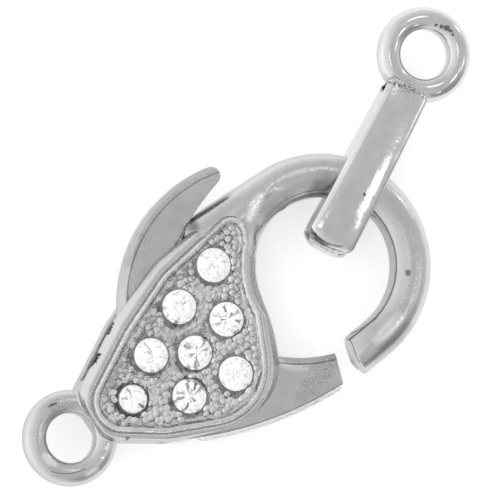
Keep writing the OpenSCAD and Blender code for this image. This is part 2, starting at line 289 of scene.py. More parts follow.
def rodShape(start, end, steps):
    shape = bmesh.new()
    edges = rodSection(shape)
    centre = (*hookRod["centre"], 0)
    turnAbout(shape, shape.verts, centre, start)
    bmesh.ops.contextual_create(shape, geom=edges)
    turned = bmesh.ops.spin(shape, geom=edges, cent=centre, axis=(0, 0, 1), steps=steps,
                            angle=math.radians(end - start), use_duplicate=False)
    return shape, [e for e in turned["geom_last"] if isinstance(e, bmesh.types.BMEdge)]


def innerShift(place):  # how far the rod's inner side stands in towards the opening, in mm
    out = place.xy - Vector(hookRod["centre"])
    start, run = hookRod["innerReach"]
    inward = max(0, min(1, (start - out.length) / run))
    return hookRod["innerThick"] * max(0, out.y / out.length) * inward


def thickenInside(shape):
    for v in shape.verts:
        out = v.co.xy - Vector(hookRod["centre"])
        v.co.xy -= out.normalized() * innerShift(v.co)


def hookRootShape():
    shape, last = rodShape(hookRod["seam"], hookRod["rootEnd"], 64)
    bmesh.ops.contextual_create(shape, geom=last)
    thickenInside(shape)
    return outward(shape)


def hookArmShape():
    start = hookRod["seam"] + hookRod["overlap"]
    shape, last = rodShape(start, hookRod["tipBend"], 72)
    thickenInside(shape)
    ahead = Vector((0, -1, 0))
    ahead.rotate(Matrix.Rotation(math.radians(hookRod["tipBend"]), 3, "Z"))
    grown = bmesh.ops.extrude_edge_only(shape, edges=last)["geom"]
    moveBy(shape, vertsIn(grown), ahead * hookRod["straight"])
    slant = math.radians(hookRod["cutSlant"])
    cutAway(shape, (*hookRod["cutAt"], 0), (-math.cos(slant), math.sin(slant), 0))
    bmesh.ops.contextual_create(shape, geom=boundaryOf(shape))
    outward(shape)
    face = max(shape.faces, key=lambda f: (len(f.verts) > 20) * -f.calc_center_median().y)
    bmesh.ops.bevel(shape, geom=face.edges[:], offset=hookRod["endBevel"], affect="EDGES",
                    segments=2, profile=0.5, material=-1)
    return shape


root = {
    "start": (16.6, 4.2),  # beyond this corner the casting is rounded down to the rod
    "half": 1.4,  # half the rod's height
    "highest": 3,  # height that the housing itself stays under
    "ridge": 6.9,  # distance of the rod's ridge from the hook's centre
    "ridgeTop": 1.42,
    "innerFrom": 18.6,  # x from which the ridge falls away towards the opening
    "innerFall": 0.27,  # fall towards the opening, per mm squared
    "rise": (21, 0.75),  # x before which it climbs to the housing, and the climb per mm
    "innerRound": (6.5, 1.12),  # distance from the centre where the underside rounds in, and radius
    "outerEdge": 8.5,  # y of the spine's outer edge
    "outerRound": 1.45,
    "backFall": (21.6, 0.8),  # x before which the back drops to the plate, and the drop per mm
    "softFrom": 17.5,  # x from which the shape is softened
    "rounds": 10,
    "notch": (20.5, 5.2),  # where the rim's tip meets the inner side of the root
    "notchReach": 2.3,
    "notchAbove": 0.2,
    "notchRounds": 40,
}


def roundTheRoot(shape):  # takes the casting down to a round rod where it runs into the hook
    centre = Vector(hookRod["centre"])
    riseBefore, rise = root["rise"]
    roundFrom, roundRadius = root["innerRound"]
    fallBefore, fall = root["backFall"]
    touched = []
    for v in shape.verts:
        if v.co.x < root["start"][0] or v.co.y < root["start"][1]:
            continue
        reach = (v.co.xy - centre).length + innerShift(v.co)
        cap, low = root["highest"], root["half"]
        if reach < root["ridge"] and v.co.x > root["innerFrom"]:
            cap = root["ridgeTop"] - root["innerFall"] * (root["ridge"] - reach) ** 2
            cap += rise * max(0, riseBefore - v.co.x)
        if reach < roundFrom:
            low = root["half"] * math.sqrt(max(0, 1 - ((roundFrom - reach) / roundRadius) ** 2))
        out = root["outerRound"] - (root["outerEdge"] - v.co.y)
        if out > 0:
            cap = min(cap, math.sqrt(max(0, root["outerRound"] ** 2 - out * out)))
            low = min(cap, low)
        limit = -low - fall * max(0, fallBefore - v.co.x)
        if v.co.z > cap or v.co.z < limit:
            v.co.z = max(limit, min(cap, v.co.z))
        if v.co.x > root["softFrom"]:
            touched.append(v)
    notch = Vector(root["notch"])
    near = [v for v in shape.verts
            if (v.co.xy - notch).length < root["notchReach"] and v.co.z > root["notchAbove"]]
    soften(shape, touched, 0.5, root["rounds"])
    soften(shape, near, 0.5, root["notchRounds"])
    return shape


def castingShape():
    shape = cadShape("body")
    cutAway(shape, (0, 0, casting["fieldCut"]), (0, 0, 1))
    closeOff(shape, (0, 0, 1))
    cutAway(shape, (casting["armCut"], 0, 0), (1, 0, 0))
    tipX, tipY = casting["tip"]
    middles = [(f, f.calc_center_median()) for f in shape.faces]
    tip = [f for f, middle in middles if middle.x > tipX and middle.y < tipY]
    bmesh.ops.delete(shape, geom=tip, context="FACES")
    closeOff(shape, (1, 0, 0))
    cutAway(shape, (casting["eyeCut"], 0, 0), (-1, 0, 0))
    closeOff(shape, (-1, 0, 0))
    addShape(shape, shoulderShape())
    addShape(shape, hookRootShape())
    return shape


def shoulderShape():  # the flat shoulder around the rim, as a plate with the field left open
    top = casting["shoulderTop"]
    outer, inner = [sectionLoops("body", top + over)[0] for over in casting["outlineAt"]]
    low = top - casting["shoulderThick"]
    shape = bmesh.new()
    edges = ringOfEdges(shape, [(p.x, p.y, low) for p in outer])
    edges += ringOfEdges(shape, [(p.x, p.y, low) for p in inner])
    bmesh.ops.triangle_fill(shape, edges=edges, use_beauty=True, normal=(0, 0, -1))
    grown = bmesh.ops.extrude_face_region(shape, geom=shape.faces[:], use_keep_orig=True)["geom"]
    moveBy(shape, vertsIn(grown), (0, 0, top - low))
    return outward(shape)


rim = {
    "start": 1.80,  # height of the rim's foot, in the fine groove along the shoulder
    "groove": 0.09,
    "profile": [(0.03, 0.28), (0.05, 0.17), (0.08, 0.09), (0.10, 0.01), (0.09, -0.04),
                (0.08, -0.12), (0.08, -0.16), (0.08, -0.11), (0.10, -0.06)],  # steps in and up
    "seatPlay": 0.01,
    "seatDeep": 0.8,
}


def rimShape():
    outline = sectionLoops("body", casting["shoulderTop"] + casting["outlineAt"][1])[0]
    shape = bmesh.new()
    edges = ringOfEdges(shape, [(p.x, p.y, rim["start"]) for p in outline])
    face = bmesh.ops.contextual_create(shape, geom=edges)["faces"][0]
    face.normal_update()
    if face.normal.z < 0:
        face.normal_flip()
    for step, rise in [(rim["groove"], 0)] + rim["profile"]:
        bmesh.ops.inset_region(shape, faces=[face], thickness=step, depth=rise,
                               use_even_offset=True, use_boundary=True)
    border = face.edges[:]
    floor = face.calc_center_median().z
    bmesh.ops.delete(shape, geom=[face], context="FACES_ONLY")
    holes = []
    for name in stoneNames:
        centre, radius = seatOf(name)
        seat = circleAt(shape, 40, radius + rim["seatPlay"], (centre.x, centre.y, floor))
        holes += edgesAt(seat)
    bmesh.ops.triangle_fill(shape, edges=border + holes, use_beauty=True, normal=(0, 0, 1))
    grown = bmesh.ops.extrude_edge_only(shape, edges=holes)["geom"]
    moveBy(shape, vertsIn(grown), (0, 0, -rim["seatDeep"]))
    return shape, [v.co.copy() for v in loopOf(border)], floor


def loopOf(edges):  # the verts of a closed ring of edges, in order
    edges = list(edges)
    verts = [edges[0].verts[0], edges[0].verts[1]]
    left = set(edges[1:])
    while left:
        ahead = [e for e in verts[-1].link_edges if e in left]
        if not ahead:
            break
        left.discard(ahead[0])
        verts.append(ahead[0].other_vert(verts[-1]))
    return verts[:-1]


beads = {
    "length": 18,  # of the field, mm
    "pitch": 0.5,
    "rowStep": 0.87,  # share of the pitch
    "radius": (0.27, 0.35),
    "stray": 0.12,
    "rimRoom": 0.02,  # least distance of a bead's middle from the rim
    "stoneRoom": (0.55, 0.05),  # the same from a stone: share of the bead's radius, and mm
    "sunk": -0.02,  # how far a crisp bead's middle lies under the floor
    "blurred": 0.19,  # the same in the smooth middle and left of the field
    "crispRim": (0.6, 1.2),  # how far in from the rim they are crisp, and the run to blurred
    "crispLow": (0.45, -1.6, 0.8),  # slope and height of a line, crisp under it, and the run
    "crispRight": (17.8, 1.2),  # x that they are crisp beyond, and the run
    "lowHalf": (0.25, -2.6),  # slope and height of the line under which less is blurred
    "lowBlur": 0.4,
    "swing": (0.5, 1.1),
    "stretch": (0.85, 1.2),
    "squash": 0.6,
    "hidden": 0.1,  # depth under the floor from which a bead is left open
}


def insideLoop(loop, point):  # distance of a point from a closed line, positive inside
    inside, nearest = False, 1e9
    for a, b in following(loop):
        if (a.y > point.y) != (b.y > point.y):
            if point.x < (b.x - a.x) * (point.y - a.y) / (b.y - a.y) + a.x:
                inside = not inside
        along = b.xy - a.xy
        share = max(0, min(1, (point.xy - a.xy).dot(along) / max(1e-9, along.length_squared)))
        nearest = min(nearest, (point.xy - a.xy - along * share).length)
    return nearest if inside else -nearest


def blurAt(point, edge):  # 0 where the beads are crisp, 1 where they are blurred
    near, nearRun = beads["crispRim"]
    slope, height, run = beads["crispLow"]
    right, rightRun = beads["crispRight"]
    blur = max((edge - near) / nearRun, (point.y - point.x * slope - height) / run)
    blur = max(0, min(1, blur, (right - point.x) / rightRun))
    slope, height = beads["lowHalf"]
    return blur * (1 if point.y > point.x * slope + height else beads["lowBlur"])


def beadShape(loop, floor):  # cast beads over the field, crisp along its right and lower edge
    pick = random.Random(7)
    shape = bmesh.new()
    seats = [seatOf(name) for name in stoneNames]
    low = Vector((min(p.x for p in loop), min(p.y for p in loop), 0))
    rows = int(beads["length"] / beads["pitch"])
    roomShare, room = beads["stoneRoom"]
    for row in range(rows):
        for col in range(rows * 2):
            point = low + Vector((col + row % 2 / 2, row * beads["rowStep"], 0)) * beads["pitch"]
            point += Vector((pick.uniform(-1, 1), pick.uniform(-1, 1), 0)) * beads["stray"]
            radius = pick.uniform(*beads["radius"])
            edge = insideLoop(loop, point)
            clear = min((point.xy - centre.xy).length - reach for centre, reach in seats)
            if edge < beads["rimRoom"] or clear < radius * roomShare + room:
                continue
            blur = blurAt(point, edge) * pick.uniform(*beads["swing"])
            sunk = beads["sunk"] + (beads["blurred"] - beads["sunk"]) * blur
            made = bmesh.ops.create_uvsphere(shape, u_segments=10, v_segments=8, radius=radius)["verts"]
            wide, long = pick.uniform(*beads["stretch"]), pick.uniform(*beads["stretch"])
            bmesh.ops.scale(shape, vec=(wide, long, beads["squash"]), verts=made)
            turnAbout(shape, made, (0, 0, 0), math.degrees(pick.uniform(0, 3)))
            moveBy(shape, made, (point.x, point.y, floor - sunk))
    below = [v for v in shape.verts if v.co.z < floor - beads["hidden"]]
    bmesh.ops.delete(shape, geom=below, context="VERTS")
    return shape


stoneNames = sorted(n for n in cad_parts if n.startswith("stone_"))


def seatOf(name):  # middle of a stone and its radius, in mm
    low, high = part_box(name)
    return (low + high) / 2 / mm, (high.x - low.x) / 2 / mm


brilliant = {
    "table": 0.54,  # shares of the stone's radius
    "star": 0.80,
    "pavilion": 0.45,
    "point": 0.03,
    "starRise": 0.58,  # share of the crown's height
    "crown": 0.40,  # mm, of a stone with the usual radius
    "pavilionDeep": 0.52,
    "usualRadius": 1.335,
    "girdle": 0.06,
    "turn": 17,  # how the stones differ in their turn, degrees
}


def stoneShape(name):
    centre, radius = seatOf(name)
    low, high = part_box(name)
    top = high.z / mm
    size = radius / brilliant["usualRadius"]
    shape = bmesh.new()
    girdleTop = top - brilliant["crown"] * size
    girdleLow = girdleTop - brilliant["girdle"]
    rings = [
        (8, 22.5, brilliant["table"], top),
        (8, 0, brilliant["star"], girdleTop + brilliant["crown"] * size * brilliant["starRise"]),
        (16, 11.25, 1, girdleTop),
        (16, 11.25, 1, girdleLow),
        (8, 22.5, brilliant["pavilion"], girdleLow - brilliant["pavilionDeep"] * size),
        (8, 22.5, brilliant["point"], low.z / mm),
    ]
    for count, turn, share, height in rings:
        turn += brilliant["turn"] * radius * centre.x
        circleAt(shape, count, radius * share, (centre.x, centre.y, height), turn)
    bmesh.ops.convex_hull(shape, input=shape.verts)
    return shape


eye = {
    "bore": 1.88,  # radius of the hole, mm
    "middle": 2.67,  # radius of the ring's middle line
    "tube": 0.97,  # radius of its section
    "wall": (0.8, 0.3, -0.3, -0.8),  # shares of the wall's half height
}


def eyeShape():  # a ring of round section with a straight-walled hole
    shape = bmesh.new()
    edge = math.degrees(math.acos((eye["bore"] - eye["middle"]) / eye["tube"]))
    arc = [math.radians(a) for a in range(-int(edge), int(edge) + 1, 6)]
    points = [(eye["middle"] + eye["tube"] * math.cos(a), 0, eye["tube"] * math.sin(a)) for a in arc]
    points += [(eye["bore"], 0, share * points[-1][2]) for share in eye["wall"]]
    edges = ringOfEdges(shape, points)
    bmesh.ops.spin(shape, geom=edges, cent=(0, 0, 0), axis=(0, 0, 1), angle=math.tau, steps=120,
                   use_merge=True, use_duplicate=False)
    bmesh.ops.remove_doubles(shape, verts=shape.verts, dist=0.0005)
    return outward(shape)


lever = {
    "voxel": 0.08,
    "rounds": 2,
    "top": 0.75,
    "waist": 0.2,  # height up to which the sides stay as they are
    "thumbFrom": 1.5,  # y beyond which it is the thumb tab, not the gate
    "thumbArc": ((18.007, 0.011), 11.2),
    "thumbStrip": (0.66, 0.3),  # width of the worn edge, and how much narrower it ends
    "thumbNarrow": (7.5, 3),  # y where it starts to get narrower, and the run
    "thumbSlope": 0.62,
    "thumbFade": (0.10, 1.2),  # depth beside the worn edge, and how fast it ends
    "gateHollow": ((23.718, 3.732), 10.25),
    "hollowEdge": (0.4, 0.6),  # width and slope of the worn edge
    "hollowStep": (0.5, 0.06),  # reach and depth of the step beside it
    "gateBelly": ((20.72, 20.80), 29.4),
    "bellyEdge": (0.35, 0.9),
    "gateCorner": ((19.22, -8.01), 0.55, (0.565, -0.825)),  # middle, radius and way out of the corner
    "cornerHalf": 0.64,  # half the corner's angle, in radians
    "cornerFade": (0.25, 0.6),  # how fast it opens beyond that, and where it ends
}


def beyondArc(here, name):  # how far a place lies outside one of the lever's arcs
    centre, radius = lever[name]
    return (here - Vector(centre)).length - radius


def wornAway(here):  # how far under its flat top the lever lies at a place
    if here.y > lever["thumbFrom"]:
        thumb = -beyondArc(here, "thumbArc")
        width, narrower = lever["thumbStrip"]
        start, run = lever["thumbNarrow"]
        width -= narrower * max(0, min(1, (here.y - start) / run))
        if thumb < width:
            return lever["thumbSlope"] * (width - thumb)
        depth, fade = lever["thumbFade"]
        return depth * math.exp(-(thumb - width) * fade)
    drop = 0
    hollow, belly = beyondArc(here, "gateHollow"), -beyondArc(here, "gateBelly")
    width, slope = lever["hollowEdge"]
    reach, depth = lever["hollowStep"]
    if hollow < width:
        drop = slope * (width - hollow)
    elif hollow < reach:
        drop = depth
    width, slope = lever["bellyEdge"]
    return max(drop, slope * (width - belly)) if belly < width else drop


def leverShape():
    shape = remeshed(cadShape("lever"), lever["voxel"], lever["rounds"])
    top = lever["top"]
    for v in shape.verts:
        if abs(v.co.z) >= lever["waist"]:
            drop = wornAway(v.co.xy)
            v.co.z = max(drop - top, min(v.co.z, top - drop))
    corner, radius, way = lever["gateCorner"]
    opens, end = lever["cornerFade"]
    for v in shape.verts:
        out = v.co.xy - Vector(corner)
        past = max(0, out.angle(Vector(way), 3) - lever["cornerHalf"])
        allowed = radius / math.cos(min(past, 1)) * (1 + opens * past)
        if past < end and out.length > allowed:
            v.co.xy = Vector(corner) + out.normalized() * allowed
    soften(shape, shape.verts, 0.4, 1)
    return shape


link = {
    "turn": 29.3,  # degrees from the long axis
    "lean": 1.4,
    "reach": 17.9,  # hook's middle to the ring's middle, mm
    "near": 1.1,
    "far": 15.1,
    "half": 2.3,  # half the band's height
    "thick": 0.65,
    "nearBend": 1.1,
    "farBend": 0.45,
    "bendSteps": 10,
    "along": (0.1, 0.25, 0.4, 0.55, 0.7, 0.85, 0.95),  # shares of a straight side that have a section
    "shear": (-0.08, 0.07),  # sideways shift, and the lean of the band across its height
    "crown": 0.26,  # how much lower the faces lie at their ends
    "ringWidth": 3.3,
    "endWidth": 3.75,
    "corner": 0.9,  # length of the rounded corners, and how wide they are for it
    "cornerWide": 1.5,
    "section": [(1, 0, 0), (1, 0, 0.27), (1, -0.06, 0.36), (1, -0.38, 0.58), (1, -0.43, 0.598),
                (0.3, 0, 0.635), (-0.1, 0, 0.632), (-0.35, 0, 0.597), (-0.6, 0, 0.542),
                (-0.85, 0, 0.472), (-1, 0.06, 0.40), (-1, 0, 0.33),
                (-1, 0, 0)],  # share of the half width, then mm across and mm out
}


def bandWidth(x):  # widens to its inner end, whose corners are rounded
    share = (x - link["near"]) / (link["far"] - link["near"])
    width = link["endWidth"] + (link["ringWidth"] - link["endWidth"]) * share
    cut = max(0, 1 - (x - link["near"]) / link["corner"])
    return width - link["cornerWide"] * link["corner"] * (1 - math.sqrt(1 - min(1, cut) ** 2))


def bandStations():  # once round the loop: a point on its centre of bend, the way out and the reach
    near, far = link["near"] + link["nearBend"], link["far"] - link["farBend"]
    corners = [(near, 1, link["nearBend"], 90), (near, -1, link["nearBend"], 180),
               (far, -1, link["farBend"], 270), (far, 1, link["farBend"], 360)]
    stations = []
    for (x, side, bend, start), after in following(corners):
        level = side * (link["half"] - bend)
        middle = Vector((x, 0, level))
        for step in range(link["bendSteps"] + 1):
            turn = math.radians(start + 90 / link["bendSteps"] * step)
            stations.append((middle, Vector((math.cos(turn), 0, math.sin(turn))), bend))
        if after[0] != x:
            out = stations[-1][1]
            for share in link["along"]:
                stations.append((Vector((x + (after[0] - x) * share, 0, level)), out, bend))
    return stations


def bandShape():
    shape = bmesh.new()
    rings = []
    for middle, out, bend in bandStations():
        width = bandWidth((middle + out * bend).x) / 2
        rings.append(ringOfEdges(shape, [
            middle + out * (bend - link["thick"] + rise) + Vector((0, side * width + shift, 0))
            for side, shift, rise in link["section"]]))
    for a, b in following(rings):
        bmesh.ops.bridge_loops(shape, edges=a + b)
    middle = (link["near"] + link["far"]) / 2
    for v in shape.verts:
        share = min(1, abs(v.co.x - middle) / (link["far"] - middle))
        v.co.y += link["shear"][0] + link["shear"][1] * v.co.z
        v.co.z -= link["crown"] * share * share * v.co.z / link["half"]
    return outward(shape)


solder = {
    "paths": [  # along the band's two ends: x, share of the half width, height, in mm
        [(14.75, 1.0, 2.12), (14.62, 0.8, 2.2), (14.8, 0.62, 2.2), (14.7, 0.42, 2.21),
         (14.92, 0.25, 2.2), (14.86, 0.05, 2.2), (15.0, -0.2, 2.18), (14.94, -0.45, 2.16),
         (15.02, -0.7, 2.1), (14.9, -0.95, 1.98)],
        [(1.08, 0.5, 1.62), (1.03, 0.3, 1.5), (1.04, 0, 1.42), (1.06, -0.3, 1.46), (1.12, -0.6, 1.6)],
        [(14.92, 0.95, 2.1), (14.9, 0.7, 2.16), (14.66, 0.5, 2.2), (14.84, 0.3, 2.2),
         (14.72, 0.1, 2.21), (14.84, -0.1, 2.2), (14.78, -0.3, 2.18)],
    ],
    "radius": 0.07,
    "uneven": (0.6, 0.4, 1.7),  # least share of the radius, swing of the share, and its pace
}


def solderShape():  # thin wrinkles of metal across the ends of the band
    shape = bmesh.new()
    half = link["ringWidth"] / 2
    shift, lean = link["shear"]
    share, swing, pace = solder["uneven"]
    for path in solder["paths"]:
        points = [Vector((x, half * side + shift + lean * z, z)) for x, side, z in path]
        fine = softLoop(points, 4)[:4 * (len(points) - 1) + 1]
        rings = []
        for i, point in enumerate(fine):
            ahead = (fine[min(i + 1, len(fine) - 1)] - fine[max(i - 1, 0)]).normalized()
            ends = min(1, (i + 1) / 3, (len(fine) - i) / 3)
            thick = solder["radius"] * (share + swing * math.sin(i * pace)) * ends
            made = bmesh.ops.create_circle(shape, cap_ends=False, segments=8, radius=thick)["verts"]
            bmesh.ops.rotate(shape, verts=made, cent=(0, 0, 0),
                             matrix=ahead.to_track_quat("Z", "Y").to_matrix())
            moveBy(shape, made, point)
            rings.append(edgesAt(made))
        for a, b in zip(rings, rings[1:]):
            bmesh.ops.bridge_loops(shape, edges=a + b)
        bmesh.ops.holes_fill(shape, edges=rings[0] + rings[-1], sides=8)
    return outward(shape)


def placeLink(shape):
    ringAt = Vector((link["reach"], 0, 0))
    moveBy(shape, shape.verts, -ringAt)
    turnAbout(shape, shape.verts, (0, 0, 0), link["turn"] - link["lean"])
    ringAt.rotate(Matrix.Rotation(math.radians(link["turn"]), 3, "Z"))
    moveBy(shape, shape.verts, ringAt + Vector((*hookRod["centre"], 0)))
    return shape


class Flow:  # a socket's value, to calculate with
    def __init__(self, finish, socket):
        self.finish = finish
        self.socket = socket

    def math(self, operation, first, second):
        return self.finish.math(operation, first, second)

    def __add__(self, other):
        return self.math("ADD", self, other)

    def __sub__(self, other):
        return self.math("SUBTRACT", self, other)

    def __rsub__(self, other):
        return self.math("SUBTRACT", other, self)

    def __mul__(self, other):
        return self.math("MULTIPLY", self, other)

    def __truediv__(self, other):
        return self.math("DIVIDE", self, other)

    def __gt__(self, other):
        return self.math("GREATER_THAN", self, other)

    def floor(self):
        return self.math("FLOOR", self, 0)

    def size(self):
        return self.math("ABSOLUTE", self, 0)

    def root(self):
        return self.math("SQRT", self, 0)

    __radd__ = __add__
    __rmul__ = __mul__


class Finish:  # a node tree with one way to add any node
    def __init__(self, tree):
        self.tree = tree

    def add(self, kind, settings, inputs, output=0):
        node = self.tree.nodes.new("ShaderNode" + kind)
        for key, value in settings.items():
            if key == "stops":
                ramp = node.color_ramp.elements
                ramp[0].position, ramp[1].position = value[0][0], value[-1][0]
                for stop, (place, tone) in [(ramp[0], value[0]), (ramp[1], value[-1])]:
                    stop.color = (tone, tone, tone, 1)
                for place, tone in value[1:-1]:
                    ramp.new(place).color = (tone, tone, tone, 1)
            else:
                setattr(node, key, value)
        for key, value in inputs.items():
            self.feed(node.inputs[key], value)
        return Flow(self, node.outputs[output])

    def math(self, operation, first, second):
        return self.add("Math", {"operation": operation}, {0: first, 1: second})

    def parts(self, place):  # the three numbers of a place, in mm
        node = self.tree.nodes.new("ShaderNodeSeparateXYZ")
        self.feed(node.inputs[0], place)
        return [Flow(self, out) * 1000 for out in node.outputs]

    def noise(self, place, size, detail):
        return self.add("TexNoise", {}, {"Vector": place, "Scale": size, "Detail": detail})

    def reach(self, x, y):  # distance from the middle
        return (x * x + y * y).root()

    def along(self, ray, way):
        inputs = {0: ray, 1: way}
        return self.add("VectorMath", {"operation": "DOT_PRODUCT"}, inputs, "Value")

    def grey(self, tone, tint=1.0):
        return self.add("CombineColor", {}, {0: tone, 1: tone, 2: tone * tint})

    def feed(self, socket, value):
        if isinstance(value, Flow):
            self.tree.links.new(value.socket, socket)
        else:
            socket.default_value = value

    def spread(self, value, *stops):  # a value through a grey ramp
        return self.add("ValToRGB", {"stops": stops}, {0: value})


def newFinish(name, **fixed):  # a material, its finish and its shader, with the fixed values set
    mat = bpy.data.materials.new(name)
    mat.use_nodes = True
    shader = mat.node_tree.nodes["Principled BSDF"]
    for key, value in fixed.items():
        shader.inputs[key.replace("_", " ")].default_value = value
    return mat, Finish(mat.node_tree), shader


castLook = {
    "tone": 0.585,
    "toneSwing": 0.1,  # share that the tone drifts by
    "paintedSideShade": 0.68,  # painted shade: share of the tone left on upright sides
    "driftSize": 260,  # noise scale, per metre
    "rough": 0.24,
    "roughSwing": 0.10,
    "grainSize": 5200,
    "grainHeight": 0.000018,  # m
    "rippleSize": 900,
    "rippleHeight": 0.00001,
    # groups of spots (x, y, radius in mm), how dark they are and how deep, in m: pits, and painted shade
    # in the flank's slots
    "pitsAndSlotShade": [
        ([(28.45, -4.09, 0.22), (3.35, -2.34, 0.14)], 0.6, 0.00005),
        # painted shade standing in for the dark slot openings on the left flank
        ([(4.08, 3.68, 0.16), (4.32, 3.76, 0.17), (4.58, 3.86, 0.18), (4.85, 3.96, 0.17),
          (5.12, 4.05, 0.15), (6.66, 4.98, 0.13), (6.86, 5.12, 0.15), (7.1, 5.26, 0.15),
          (7.35, 5.4, 0.13)], 0.93, 0.00005),
    ],
    # painted shade along creases, as fine lines: middle, radius, width, lowest and highest y, how dark,
    # and for some the highest x
    "arcs": [(23.45, 0, 5.60, 0.06, 4.8, 9, 0.2)],
    "patches": [([(0.3, 2.3, 0.9)], 0.3, 0.00001)],
    # painted shade and painted highlights: soft spots and how dark they are, below 0 for paler ones, the
    # painted highlights
    "paintedShadeAndHighlights": [
        # painted shade in the pocket between the thumb tab and the spine
        ([(16.45, 7.95, 0.42), (16.75, 8.15, 0.3)], 0.55),
        # painted shade and dark reflection beside the link
        ([(27.0, 5.0, 0.6), (26.3, 5.0, 0.42), (25.6, 5.05, 0.24)], 0.42),
        # painted highlight on the hook's root
        ([(20.4, 6.1, 0.2), (20.75, 6.3, 0.27), (21.2, 6.5, 0.33), (21.7, 6.7, 0.34),
          (22.2, 6.9, 0.26)], -0.65),
    ],
}

armLook = dict(castLook)
armLook["sawn"] = (22.6, 0.5, 0.15)  # x that the cut end lies before, how much paler and rougher it is
# painted shade along the arm's inner crease, on its bend and its straight end
armLook["arcs"] = [
    (23.45, 0, 5.60, 0.06, -5.57, 9, 0.65),
    (6.51, 193.66, 200.0, 0.06, -6.3, -5.57, 0.65),
]
# a painted highlight streak along the arm, then a painted shade band along its outer side
armLook["paintedShadeAndHighlights"] = [
    ([(26.0, -6.45, 0.3), (25.6, -6.55, 0.32), (25.2, -6.65, 0.34), (24.8, -6.72, 0.34),
      (24.4, -6.8, 0.34), (24.0, -6.87, 0.3), (23.5, -6.95, 0.26)], -0.35),
    ([(26.3, -7.4, 0.35), (25.7, -7.6, 0.38), (25.1, -7.78, 0.38), (24.5, -7.87, 0.38),
      (23.9, -7.93, 0.38), (23.3, -7.95, 0.36), (22.7, -7.95, 0.32)], 0.22),
]

eyeLook = dict(castLook)
eyeLook["pitsAndSlotShade"] = [
    ([(-0.12, 2.9, 0.07), (0.02, 2.88, 0.09), (0.16, 2.86, 0.1), (0.3, 2.84, 0.08), (0.44, 2.8, 0.07)],
     0.7, 0.00005),
]
eyeLook["arcs"] = [(-0.2, 0.6, 3.09, 0.04, -2.5, -1.2, 0.5, -0.4)]
# painted highlights: white streaks and dots on the eye
eyeLook["paintedShadeAndHighlights"] = [
    ([(-2.5, 0.1, 0.16), (-2.49, -0.15, 0.2), (-2.45, -0.4, 0.23), (-2.37, -0.63, 0.23),
      (-2.2, -0.92, 0.18)], -0.5),
    ([(-0.56, -3.01, 0.2), (-0.22, -3.05, 0.22), (0.05, -3.07, 0.22), (0.3, -3.07, 0.18),
      (1.76, -2.1, 0.13), (1.08, -2.55, 0.13)], -0.5),
]

leverLook = dict(castLook)
leverLook["tone"] = 0.56
# a painted highlight under the gate's chamfer, then painted shade along the lever's edge by the spine
leverLook["paintedShadeAndHighlights"] = [
    ([(16.6, -4.1, 0.18), (16.65, -4.4, 0.2), (16.8, -4.7, 0.22), (17.05, -5.0, 0.22),
      (17.35, -5.25, 0.2), (17.65, -5.5, 0.17), (17.95, -5.75, 0.14)], -0.34),
    ([(16.2, 8.1, 0.25), (15.6, 7.85, 0.22), (15.0, 7.6, 0.2), (14.4, 7.35, 0.18)], 0.3),
]
# painted shade along the edges of the worn strips, and a painted highlight on the belly's strip, where
# dark is below 0
leverLook["arcs"] = [
    (18.007, 0.011, 10.56, 0.05, 1.5, 20, 0.35),
    (23.718, 3.732, 10.72, 0.06, -20, 1.5, 0.4),
    (20.72, 20.80, 29.00, 0.04, -20, 1.5, 0.3),
    (20.72, 20.80, 29.27, 0.22, -20, 1.5, -0.7),
    (23.718, 3.732, 10.45, 0.3, -20, 1.5, 0.14),
]
leverLook["pitsAndSlotShade"] = [([(10.04, 8.19, 0.16)], 0.6, 0.00005)]
leverLook["patches"] = [
    ([(20.0, -6.37, 0.7), (19.2, -6.6, 0.6), (18.32, -6.78, 0.7), (17.4, -7.0, 0.6), (16.45, -7.34, 0.6),
      (11.21, 8.40, 0.5), (12.11, 8.89, 0.5), (13.0, 9.38, 0.6)], 0.28, 0.000012),
]

marks = {
    "lowest": -0.5,  # height over which spots are drawn, mm
    "spotRag": 1.6,  # swing of a spot's edge, as a share of its radius
    "spotEdge": 0.12,
    "shadeRag": 0.3,
    "shadeEdge": 0.45,
    "patchEdge": 0.3,
    "patchGrain": [(0.46, 0), (0.56, 1)],
    "pitRough": 0.2,
    "arcRag": 0.04,  # mm
    "arcEdge": [(0.3, 1), (0.6, 0)],
    "arcDeep": 0.00003,
    "facingEnd": 0.93,
}


def spotsOver(finish, here, spots, rag, edge):  # 1 in spots (x, y, radius in mm), 0 around them
    x, y, z = here
    total = 0
    for px, py, radius in spots:
        away = finish.reach(x - px, y - py) + (rag - 0.5) * radius * marks["spotRag"]
        total = total + finish.spread(away / (radius * 2), (0.5 - edge, 1), (0.5 + edge, 0))
    return finish.math("MINIMUM", total, 1) * (z > marks["lowest"])


